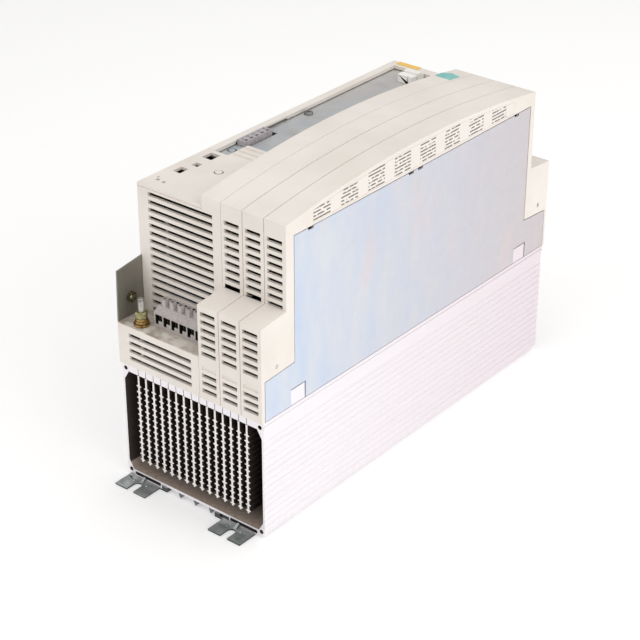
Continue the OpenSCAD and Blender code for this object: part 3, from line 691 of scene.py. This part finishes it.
@dataclass(frozen=True)
class SolderMask:
    """Lacquered circuit board: glossy green with darker copper tracks showing through, both painted
    darker as the shade inside the housing.
    """

    name: str = "solder_mask"
    mask_and_shade: str = "#16301F"
    track_and_shade: str = "#20432C"
    track_mm: float = 4.0
    roughness: float = 0.45

    def build(self) -> Material:
        """Returns the material."""
        canvas = Canvas(self.name, self.roughness)
        tracks = canvas.node(
            "ShaderNodeTexBrick",
            {
                "Vector": canvas.place,
                "Color1": (1, 1, 1, 1),
                "Color2": (0.6, 0.6, 0.6, 1),
                "Mortar": (0, 0, 0, 1),
                "Scale": per_metre(self.track_mm * 4),
            },
        ).outputs["Color"]
        # Painted shade: both greens are darkened to stand in for the shade inside the housing.
        canvas.paint(canvas.mix(tracks, self.mask_and_shade, self.track_and_shade))
        canvas.emboss(tracks, depth_mm=0.05, strength=0.4)
        return canvas.material


@dataclass(frozen=True)
class WoundCopper:
    """Enamelled copper: warm metal with fine turns."""

    name: str = "wound_copper"
    light: str = "#C77B46"
    dark: str = "#8A4A25"
    turn_mm: float = 1.6
    roughness: float = 0.33

    def build(self) -> Material:
        """Returns the material."""
        canvas = Canvas(self.name, self.roughness, 1.0)
        turns = canvas.node(
            "ShaderNodeTexWave",
            {"Vector": canvas.place, "Scale": per_metre(self.turn_mm * 6), "Distortion": 1.0},
        ).outputs["Fac"]
        canvas.paint(canvas.ramp(turns, [(0.2, self.dark), (0.7, self.light)]))
        canvas.emboss(turns, depth_mm=0.3, strength=0.5)
        return canvas.material


@dataclass(frozen=True)
class GlossAbs:
    """Polished ABS of small coloured parts: a clean gloss with a faint swirl in the colour, whose
    lighter patches are partly a painted highlight.
    """

    name: str = "gloss_abs"
    colour: str = "#86CBC4"
    swirl_and_sheen: str = "#6FBBB4"
    roughness: float = 0.22
    swirl_mm: float = 5.0

    def build(self) -> Material:
        """Returns the material."""
        canvas = Canvas(self.name, self.roughness)
        swirl_and_sheen = canvas.noise(self.swirl_mm, detail=2.0)
        # Painted highlight in part: the lighter patches of the swirl stand in for the sheen of the
        # gloss.
        canvas.paint(canvas.ramp(swirl_and_sheen, [(0.3, self.swirl_and_sheen), (0.7, self.colour)]))
        canvas.roughen(swirl_and_sheen, self.roughness - 0.05, self.roughness + 0.08)
        canvas.emboss(swirl_and_sheen, depth_mm=0.05, strength=0.2)
        return canvas.material


# ---- shapes ------------------------------------------------------------------


def new_piece(
    name: str, mesh: BMesh, material: Material, smooth_deg: float = 35.0
) -> bpy.types.Object:
    """Makes an object from a finished mesh, shaded smooth up to an angle.

    Args:
        name: name of the piece.
        mesh: its mesh, which is freed.
        material: its finish.
        smooth_deg: angle above which an edge stays sharp.

    Returns:
        The new object, linked to the scene.
    """
    data = bpy.data.meshes.new(name)
    mesh.to_mesh(data)
    mesh.free()
    data.materials.append(material)
    data.polygons.foreach_set("use_smooth", [True] * len(data.polygons))
    data.set_sharp_from_angle(angle=math.radians(smooth_deg))
    piece = bpy.data.objects.new(name, data)
    bpy.context.scene.collection.objects.link(piece)
    return piece


def loft(mesh: BMesh, rings: list[list[BMVert]], closed: bool = False) -> None:
    """Joins each ring of vertices to the next with four-sided faces.

    Args:
        mesh: mesh that gets the faces.
        rings: rings with the same number of vertices.
        closed: whether the last ring is joined to the first.
    """
    following = rings[1:] + rings[:1] if closed else rings[1:]
    for first, second in zip(rings, following, strict=False):
        for i in range(len(first)):
            j = (i + 1) % len(first)
            mesh.faces.new((first[i], first[j], second[j], second[i]))


def sharp_edges(mesh: BMesh, angle_deg: float) -> list[BMEdge]:
    """Returns the edges whose two faces meet at more than this angle."""
    limit = math.radians(angle_deg)
    return [e for e in mesh.edges if len(e.link_faces) == 2 and e.calc_face_angle(0) > limit]


@dataclass
class Assembly:
    """A group of pieces that are made and dressed together."""

    body: str = "chassis"
    made: list[str] = field(default_factory=list)
    # How the CAD meshes are cleaned before their edges are rounded, and shaded afterwards.
    weld_m: float = 1e-6
    flat_deg: float = 0.4
    sharp_deg: float = 30.0
    shade_deg: float = 50.0
    round_steps: int = 2
    # Edges of small round holes are left alone: rounding would swallow them.
    shortest_share: float = 1.3

    def keep(self, node: str, material: Material) -> None:
        """Gives a CAD node its finish and leaves its shape alone."""
        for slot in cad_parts[node].material_slots:
            slot.material = material
        self.note(node)

    def soften(self, node: str, material: Material, radius_mm: float) -> None:
        """Replaces a CAD node by a copy whose edges are rounded as a tool leaves them.

        Args:
            node: name of the CAD node.
            material: finish of the copy.
            radius_mm: width of the rounding.
        """
        mesh = bmesh.new()
        mesh.from_mesh(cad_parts[node].data)
        bmesh.ops.remove_doubles(mesh, verts=mesh.verts, dist=self.weld_m)
        bmesh.ops.dissolve_limit(
            mesh, angle_limit=math.radians(self.flat_deg), verts=mesh.verts, edges=mesh.edges
        )
        shortest = radius_mm * self.shortest_share * MM
        edges = sharp_edges(mesh, self.sharp_deg)
        bmesh.ops.bevel(
            mesh,
            geom=[edge for edge in edges if edge.calc_length() > shortest],
            offset=radius_mm * MM,
            offset_type="OFFSET",
            segments=self.round_steps,
            profile=0.5,
            affect="EDGES",
            clamp_overlap=True,
            harden_normals=False,
        )
        piece = new_piece(f"{node}_skin", mesh, material, self.shade_deg)
        # Large flat faces keep their own normals, and only the roundings shade smoothly.
        even = piece.modifiers.new("even_normals", "WEIGHTED_NORMAL")
        even.keep_sharp = True
        self.stand_in(piece, node)

    def stand_in(self, piece: bpy.types.Object, node: str) -> None:
        """Lets a new piece stand for a CAD node, on the assembly's body.

        Args:
            piece: the new piece.
            node: name of the CAD node, which is hidden.
        """
        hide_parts(node)
        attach(piece, self.body)
        self.note(piece.name)

    def note(self, name: str) -> None:
        """Logs a piece as made."""
        self.made.append(name)
        LOG.info("%s: %s", type(self).__name__, name)


# ---- the drive ---------------------------------------------------------------


def made(finish: Finish) -> Material:
    """Returns a dataclass field that holds the material of a finish."""
    return field(default_factory=finish.build)


@dataclass
class Workshop:
    """All finishes of the drive, each made once and shared by the pieces that use it."""

    housing: Material = made(MouldedAbs())
    latch: Material = made(
        MouldedAbs(name="ivory_abs", light="#F0EEE8", shade="#E4E1D8", roughness=0.4, shell=False)
    )
    sink: Material = made(ExtrudedAluminium())
    fins: Material = made(FinAluminium())
    plate: Material = made(ZincSheet())
    shield: Material = made(
        ZincSheet(
            name="dull_zinc_sheet",
            base="#BAC8D6",
            patch="#CDD1D3",
            far_reflection="#D2CECA",
            blush="#C0BDBB",
            engraved="#4E5256",
            roughness=0.45,
        )
    )
    ear: Material = made(
        ZincSheet(
            name="aged_zinc_sheet",
            base="#96938A",
            patch="#88857B",
            far_reflection="#96938A",
            blush="#777266",
            roughness=0.5,
        )
    )
    bracket: Material = made(
        ZincSheet(
            name="bracket_zinc_sheet",
            base="#A3A9A7",
            patch="#CDD1CF",
            far_reflection="#B4BAB7",
            blush="#6F7574",
            sheared_and_shaded="#4B504F",
            roughness=0.34,
            streak_mm=(9.0, 7.0, 12.0),
        )
    )
    terminal: Material = made(MouldedPolyamide())
    clamp_row: Material = made(
        MouldedPolyamide(name="clamp_row_polyamide", chamber_mm=(-42.4, 4.4, 162.6, 141.3))
    )
    dark: Material = made(
        MouldedPolyamide(name="black_polyamide", light="#2E2C2C", dark="#1D1B1B", roughness=0.46)
    )
    plug: Material = made(
        MouldedPolyamide(name="grey_polyamide", light="#B9B3B5", dark="#A39DA0", roughness=0.5)
    )
    sensor: Material = made(
        MouldedPolyamide(name="blue_polyamide", light="#2B4C8C", dark="#223E77", roughness=0.4)
    )
    module: Material = made(
        MouldedPolyamide(name="cream_polyamide", light="#D8D2BE", dark="#C9C2AC", roughness=0.45)
    )
    screw: Material = made(PlatedSteel())
    wire: Material = made(
        PlatedSteel(name="nickel_wire", bright="#E2E2E0", stain="#B7B5B0", roughness=0.2)
    )
    washer: Material = made(
        PlatedSteel(
            name="yellow_chromate", bright="#B89A66", stain="#6E5433", roughness=0.34, patch_mm=2.0
        )
    )
    nut: Material = made(
        PlatedSteel(
            name="olive_chromate", bright="#B5B083", stain="#6F6A45", roughness=0.36, patch_mm=2.0
        )
    )
    # Painted shade: the ear nut is painted dark, standing in for the dark hole in the ear.
    shaded_nut: Material = made(
        PlatedSteel(
            name="shaded_chromate", bright="#77724F", stain="#3A3725", roughness=0.55, patch_mm=2.0
        )
    )
    pan_head: Material = made(
        PlatedSteel(
            name="grey_chromate", bright="#A3A3A2", stain="#6B6A68", roughness=0.42, patch_mm=2.0
        )
    )
    pin: Material = made(
        PlatedSteel(name="tinned_brass", bright="#D9C48C", stain="#B79C5E", roughness=0.25)
    )
    copper: Material = made(WoundCopper())
    board: Material = made(SolderMask())
    badge: Material = made(GlossAbs())
    sleeve: Material = made(
        GlossAbs(name="shrink_sleeve", colour="#151A24", swirl_and_sheen="#0F131C", roughness=0.45)
    )
    ferrite: Material = made(
        MouldedPolyamide(name="sintered_ferrite", light="#3A3633", dark="#2B2826", roughness=0.6)
    )
    yellow: Material = made(PrintedFilm(name="yellow_film", base="#F4C968", tone="#EFBC55"))
    label: Material = made(PrintedFilm(name="ruled_film", layout=RuleLayout.RULED))


@dataclass
class HeatSink(Assembly):
    """Extruded tunnel with its base plate and the comb of sawn fins."""

    edge_mm: float = 0.3

    def build(self, shop: Workshop) -> None:
        """Makes and dresses the heat sink."""
        self.soften("heatsink_tunnel", shop.sink, self.edge_mm)
        self.soften("fin_base_plate", shop.sink, self.edge_mm)
        self.soften("cooling_fins", shop.fins, 0.18)


@dataclass
class Fan(Assembly):
    """Axial fan at the mains end of the tunnel, without its rotor."""

    def build(self, shop: Workshop) -> None:
        """Makes and dresses the fan."""
        self.soften("fan_frame", shop.dark, 0.3)
        self.soften("fan_shroud", shop.plate, 0.2)
        self.keep("fan_guard", shop.wire)
        self.soften("fan_screws", shop.screw, 0.15)


@dataclass
class Rotor(Assembly):
    """The turning part of the fan: a cup-shaped hub with twisted, cambered blades."""

    body: str = "fan"
    shade_deg: float = 40.0
    axis_z_mm: float = 50.0
    front_y_mm: float = 143.0
    back_y_mm: float = 160.0
    bore_r_mm: float = 1.6
    hub_r_mm: float = 17.0
    tip_r_mm: float = 36.6
    blades: int = 7
    blade_t_mm: float = 1.3
    rounding_mm: float = 0.1
    front_gap_mm: float = 0.3
    back_gap_mm: float = 0.6
    thinning: float = 0.55
    camber_mm: float = 1.9
    root_pitch_deg: float = 48.0
    tip_pitch_deg: float = 30.0
    root_chord_mm: float = 17.5
    chord_growth_mm: float = 5.0
    sweep_deg: float = 14.0
    steps: int = 10

    def build(self, shop: Workshop) -> None:
        """Makes and dresses the rotor."""
        mesh = bmesh.new()
        self.turn_hub(mesh)
        for blade in range(self.blades):
            self.sweep_blade(mesh, 2 * math.pi * blade / self.blades)
        bmesh.ops.recalc_face_normals(mesh, faces=mesh.faces)
        rotor = new_piece("fan_rotor_skin", mesh, shop.dark, self.shade_deg)
        self.stand_in(rotor, "fan_rotor")

    def turn_hub(self, mesh: BMesh, around: int = 64) -> None:
        """Turns the cup-shaped hub about the fan's axis, with a rounded rim and a shallow dish.

        Args:
            mesh: mesh that gets the hub.
            around: steps round the axis.
        """
        low, high, radius = self.front_y_mm, self.back_y_mm, self.hub_r_mm
        outline = [
            (self.bore_r_mm, low + 1.0),
            (radius - 2, low + 1.0),
            (radius - 1.2, low + 0.2),
            (radius, low + 0.6),
            (radius, high - 1.6),
            (radius - 0.5, high - 0.5),
            (radius - 1.6, high),
            (radius - 4, high),
            (radius - 5, high - 0.5),
            (self.bore_r_mm, high - 0.5),
        ]
        rings = []
        for r, y in outline:
            ring = []
            for i in range(around):
                angle = 2 * math.pi * i / around
                ring.append(self.vert(mesh, r * math.cos(angle), y, r * math.sin(angle)))
            rings.append(ring)
        loft(mesh, rings, closed=True)

    def sweep_blade(self, mesh: BMesh, turn: float) -> None:
        """Lofts one blade from root to tip, twisted, cambered and thinner at the trailing edge.

        Args:
            mesh: mesh that gets the blade.
            turn: angle of the blade about the axis, in radians.
        """
        mid = (self.front_y_mm + self.back_y_mm) / 2
        front = self.front_y_mm + self.front_gap_mm
        back = self.back_y_mm - self.back_gap_mm
        sections = []
        for i in range(self.steps + 1):
            share = i / self.steps
            radius = self.hub_r_mm - 1 + share * (self.tip_r_mm - self.hub_r_mm + 1)
            pitch = math.radians(
                self.root_pitch_deg + share * (self.tip_pitch_deg - self.root_pitch_deg)
            )
            chord = self.root_chord_mm + self.chord_growth_mm * share
            sweep = math.radians(self.sweep_deg) * share * share
            upper, lower = [], []
            for k in range(self.steps + 1):
                along = k / self.steps - 0.5
                camber = self.camber_mm * (1 - 4 * along * along)
                half = self.blade_t_mm / 2 * (1 - self.thinning * (along + 0.5))
                half += self.rounding_mm
                for side, store in ((half, upper), (-half, lower)):
                    rise = along * chord * math.sin(pitch) + (camber + side) * math.cos(pitch)
                    round_by = along * chord * math.cos(pitch) - (camber + side) * math.sin(pitch)
                    angle = turn + sweep + round_by / radius
                    y = min(max(mid + rise, front), back)
                    store.append(
                        self.vert(mesh, radius * math.cos(angle), y, radius * math.sin(angle))
                    )
            sections.append(upper + lower[::-1])
        loft(mesh, sections)
        mesh.faces.new(sections[0])
        mesh.faces.new(sections[-1])

    def vert(self, mesh: BMesh, x_mm: float, y_mm: float, z_mm: float) -> BMVert:
        """Adds a vertex, its height counted from the fan's axis."""
        return mesh.verts.new((x_mm * MM, y_mm * MM, (z_mm + self.axis_z_mm) * MM))


@dataclass
class Brackets(Assembly):
    """The four folded feet that screw the drive to its wall."""

    def build(self, shop: Workshop) -> None:
        """Makes and dresses the feet."""
        for end in ("motor", "mains"):
            for side in ("left", "right"):
                self.soften(f"bracket_{end}_{side}", shop.bracket, 0.25)


@dataclass
class Housing(Assembly):
    """The moulded shells: lower housing, main cover and the three arched strips."""

    edge_mm: float = 0.45
    strips: int = 3

    def build(self, shop: Workshop) -> None:
        """Makes and dresses the shells."""
        strips = [f"strip_cover_{number + 1}" for number in range(self.strips)]
        for shell in ["lower_housing", "main_cover", *strips]:
            self.soften(shell, shop.housing, self.edge_mm)


@dataclass
class GripCover(Assembly):
    """The small cover of the operating column, which slides off towards the motor end."""

    body: str = "cover"

    def build(self, shop: Workshop) -> None:
        """Makes and dresses the cover."""
        self.soften("grip_cover", shop.housing, 0.35)


@dataclass
class Plates(Assembly):
    """Sheet metal plates with their screws, hooks, films and latches."""

    def build(self, shop: Workshop) -> None:
        """Makes and dresses the plates and what is fixed to them."""
        self.soften("side_plate_right", shop.plate, 0.3)
        self.soften("side_plate_left", shop.ear, 0.25)
        self.soften("ear_nut", shop.shaded_nut, 0.25)
        self.soften("shield_plate", shop.shield, 0.2)
        self.soften("shield_screws", shop.pan_head, 0.15)
        self.soften("side_screws", shop.screw, 0.15)
        self.soften("plate_hooks", shop.sink, 0.2)
        self.soften("card_latch", shop.latch, 0.4)
        self.soften("latch_block", shop.latch, 0.4)
        self.soften("badge", shop.badge, 0.3)
        self.keep("marker_strip", shop.yellow)
        self.keep("blank_label", shop.label)


@dataclass
class PlugHeader(Assembly):
    """The socket of the control supply and its pins."""

    def build(self, shop: Workshop) -> None:
        """Makes and dresses the header."""
        self.soften("plug_header", shop.dark, 0.15)
        self.soften("header_pins", shop.pin, 0.08)


@dataclass
class ControlPlug(Assembly):
    """The pull-off plug of the control supply, with its clamp screws."""

    body: str = "plug"

    def build(self, shop: Workshop) -> None:
        """Makes and dresses the plug."""
        self.soften("control_plug", shop.plug, 0.25)
        self.soften("plug_screws", shop.screw, 0.12)


@dataclass
class PowerTerminals(Assembly):
    """A row of power terminals, its cover and its clamp screws."""

    end: str = "motor"

    def build(self, shop: Workshop) -> None:
        """Makes and dresses the row."""
        self.soften(f"{self.end}_terminal_base", shop.clamp_row, 0.2)
        self.soften(f"{self.end}_terminal_cover", shop.terminal, 0.35)
        self.soften(f"{self.end}_terminal_screws", shop.screw, 0.15)


@dataclass
class EarthPoint(Assembly):
    """The protective earth stud, its nut and its washers."""

    centre_mm: tuple[float, float] = (-50.9, -167.0)
    radius_mm: float = 2.5
    pitch_mm: float = 0.8
    thread_mm: float = 0.45
    low_mm: float = 142.2
    high_mm: float = 152.4
    shank_r_mm: float = 2.1
    shank_top_mm: float = 141.8
    foot_r_mm: float = 4.5
    foot_mm: tuple[float, float] = (98.0, 102.0)

    def build(self, shop: Workshop) -> None:
        """Makes and dresses the earth point."""
        stud = new_piece("earth_stud_skin", self.cut_thread(), shop.screw, 30.0)
        self.stand_in(stud, "earth_stud")
        self.soften("earth_nut", shop.nut, 0.3)
        self.soften("earth_washers", shop.washer, 0.2)

    def cut_thread(self, around: int = 40, per_turn: int = 8) -> BMesh:
        """Returns the stud with a helical thread above the nut and a plain shank below it.

        Args:
            around: steps round the stud.
            per_turn: steps along the stud for each turn of the thread.

        Returns:
            The closed mesh.
        """
        mesh = bmesh.new()
        base, shoulder = self.foot_mm
        levels = [
            (base, self.foot_r_mm),
            (shoulder, self.foot_r_mm),
            (shoulder, self.shank_r_mm),
            (self.shank_top_mm, self.shank_r_mm),
        ]
        step = self.pitch_mm / per_turn
        count = int((self.high_mm - self.low_mm) / step)
        levels += [(self.low_mm + i * step, None) for i in range(count + 1)]
        rings = []
        for z, plain in levels:
            ring = []
            for i in range(around):
                angle = 2 * math.pi * i / around
                radius = self.thread_radius(z, i / around) if plain is None else plain
                x = self.centre_mm[0] + radius * math.cos(angle)
                y = self.centre_mm[1] + radius * math.sin(angle)
                ring.append(mesh.verts.new((x * MM, y * MM, z * MM)))
            rings.append(ring)
        loft(mesh, rings)
        mesh.faces.new(rings[0][::-1])
        mesh.faces.new(rings[-1])
        return mesh

    def thread_radius(self, z_mm: float, turn: float) -> float:
        """Works out one point of the threaded length.

        Args:
            z_mm: height of the point.
            turn: share of a turn round the stud.

        Returns:
            The radius there, smaller in the groove and on the chamfered tip.
        """
        phase = (z_mm / self.pitch_mm - turn) % 1.0
        groove = max(0.0, 1 - abs(phase - 0.5) / 0.42)
        chamfer = max(0.0, z_mm - (self.high_mm - 0.8))
        return self.radius_mm - max(self.thread_mm * groove, chamfer)


@dataclass
class Electronics(Assembly):
    """Boards and power parts inside the housing, seen only through slots and windows."""

    def build(self, shop: Workshop) -> None:
        """Makes and dresses the parts inside."""
        finishes = {
            "control_board": shop.board,
            "power_board": shop.board,
            "board_standoffs": shop.screw,
            "processor_chips": shop.dark,
            "signal_sockets": shop.dark,
            "power_module": shop.module,
            "rectifier_module": shop.dark,
            "module_screws": shop.screw,
            "capacitor_clamp": shop.dark,
            "bus_bars": shop.copper,
            "current_sensors": shop.sensor,
            "supply_transformer": shop.ferrite,
            "board_connector": shop.dark,
        }
        for node, material in finishes.items():
            self.soften(node, material, 0.2)
        self.soften("bus_capacitors", shop.sleeve, 0.8)
        self.soften("filter_choke", shop.copper, 1.2)


# ---- studio ------------------------------------------------------------------


@dataclass
class SoftBox:
    """One large, even light."""

    name: str
    place: tuple[float, float, float]
    size: tuple[float, float]
    power: float

    def build(self, aim: Vector) -> None:
        """Places the light and turns it to the aim."""
        light = bpy.data.lights.new(self.name, "AREA")
        light.shape = "RECTANGLE"
        light.size, light.size_y = self.size
        light.energy = self.power
        lamp = bpy.data.objects.new(self.name, light)
        lamp.location = self.place
        lamp.rotation_euler = (aim - Vector(self.place)).to_track_quat("-Z", "Y").to_euler()
        bpy.context.scene.collection.objects.link(lamp)


@dataclass
class Studio:
    """Plain white table, soft light from three sides and from the room, and a long lens."""

    aim: Vector = field(default_factory=lambda: Vector((0.0, 0.0, 0.12)))
    sky: float = 0.50
    table_m: float = 30.0
    table_gap_mm: float = 0.2
    table_dark: str = "#E2E1E0"
    table_light: str = "#E6E5E4"
    table_glow: float = 0.3
    azimuth_deg: float = 38.955
    elevation_deg: float = 29.300
    roll_deg: float = 0.100
    eye: Vector = field(default_factory=lambda: Vector((0.76101, -0.97044, 0.77188)))
    lens_mm: float = 103.36
    sensor_mm: float = 36.0
    far_clip_m: float = 100.0

    def build(self) -> None:
        """Sets up the table, the lights and the camera."""
        self.lay_table()
        self.light()
        self.point_camera()

    def lay_table(self) -> None:
        """Lays the pale table under the drive."""
        canvas = Canvas("white_table", 0.7)
        canvas.paint(canvas.mix(canvas.noise(size_mm=600.0), self.table_dark, self.table_light))
        # A light table: opal acrylic lit from below, so that shadows stay faint.
        canvas.shader.inputs["Emission Color"].default_value = linear("#FFFFFF")
        canvas.shader.inputs["Emission Strength"].default_value = self.table_glow
        mesh = bmesh.new()
        bmesh.ops.create_grid(mesh, x_segments=8, y_segments=8, size=self.table_m / 2)
        table = new_piece("table", mesh, canvas.material)
        table.location.z = -self.table_gap_mm * MM

    def light(self) -> None:
        """Hangs the soft boxes and lights the room."""
        boxes = (
            SoftBox("top_box", (0.25, 0.3, 1.7), (2.4, 2.4), 14.5),
            SoftBox("right_box", (2.0, -0.3, 0.9), (2.0, 1.8), 18.5),
            SoftBox("near_box", (-0.5, -1.6, 1.25), (1.5, 1.1), 8.0),
        )
        for box in boxes:
            box.build(self.aim)
        world = bpy.data.worlds.new("room")
        world.use_nodes = True
        world.node_tree.nodes.clear()
        glow = add_node(
            world.node_tree,
            "ShaderNodeBackground",
            {"Color": (1, 1, 1, 1), "Strength": self.sky},
        )
        output = add_node(world.node_tree, "ShaderNodeOutputWorld")
        world.node_tree.links.new(glow.outputs[0], output.inputs[0])
        bpy.context.scene.world = world
        bpy.context.scene.view_settings.view_transform = "Standard"

    def point_camera(self) -> None:
        """Places the camera and makes it the scene's own."""
        azimuth, elevation, roll = (
            math.radians(v) for v in (self.azimuth_deg, self.elevation_deg, self.roll_deg)
        )
        back = Vector(
            (
                math.sin(azimuth) * math.cos(elevation),
                -math.cos(azimuth) * math.cos(elevation),
                math.sin(elevation),
            )
        )
        level = Vector((0, 0, 1)).cross(back).normalized()
        upright = back.cross(level)
        right = math.cos(roll) * level + math.sin(roll) * upright
        up = math.cos(roll) * upright - math.sin(roll) * level
        turn = Matrix((right, up, back)).transposed().to_4x4()
        data = bpy.data.cameras.new("long_lens")
        data.lens = self.lens_mm
        data.sensor_width = self.sensor_mm
        data.clip_end = self.far_clip_m
        camera = bpy.data.objects.new("long_lens", data)
        camera.matrix_world = Matrix.Translation(self.eye) @ turn
        bpy.context.scene.collection.objects.link(camera)
        bpy.context.scene.camera = camera


def main() -> None:
    """Builds the drive piece by piece, then its studio."""
    logging.basicConfig(level=logging.INFO, format="%(message)s")
    shop = Workshop()
    assemblies = (
        HeatSink(),
        Fan(),
        Rotor(),
        Brackets(),
        Housing(),
        GripCover(),
        Plates(),
        PlugHeader(),
        ControlPlug(),
        PowerTerminals(end="motor"),
        PowerTerminals(end="mains"),
        EarthPoint(),
        Electronics(),
    )
    for assembly in assemblies:
        assembly.build(shop)
    LOG.info("%d pieces made", sum(len(a.made) for a in assemblies))
    Studio().build()


if __name__ == "__main__":
    main()
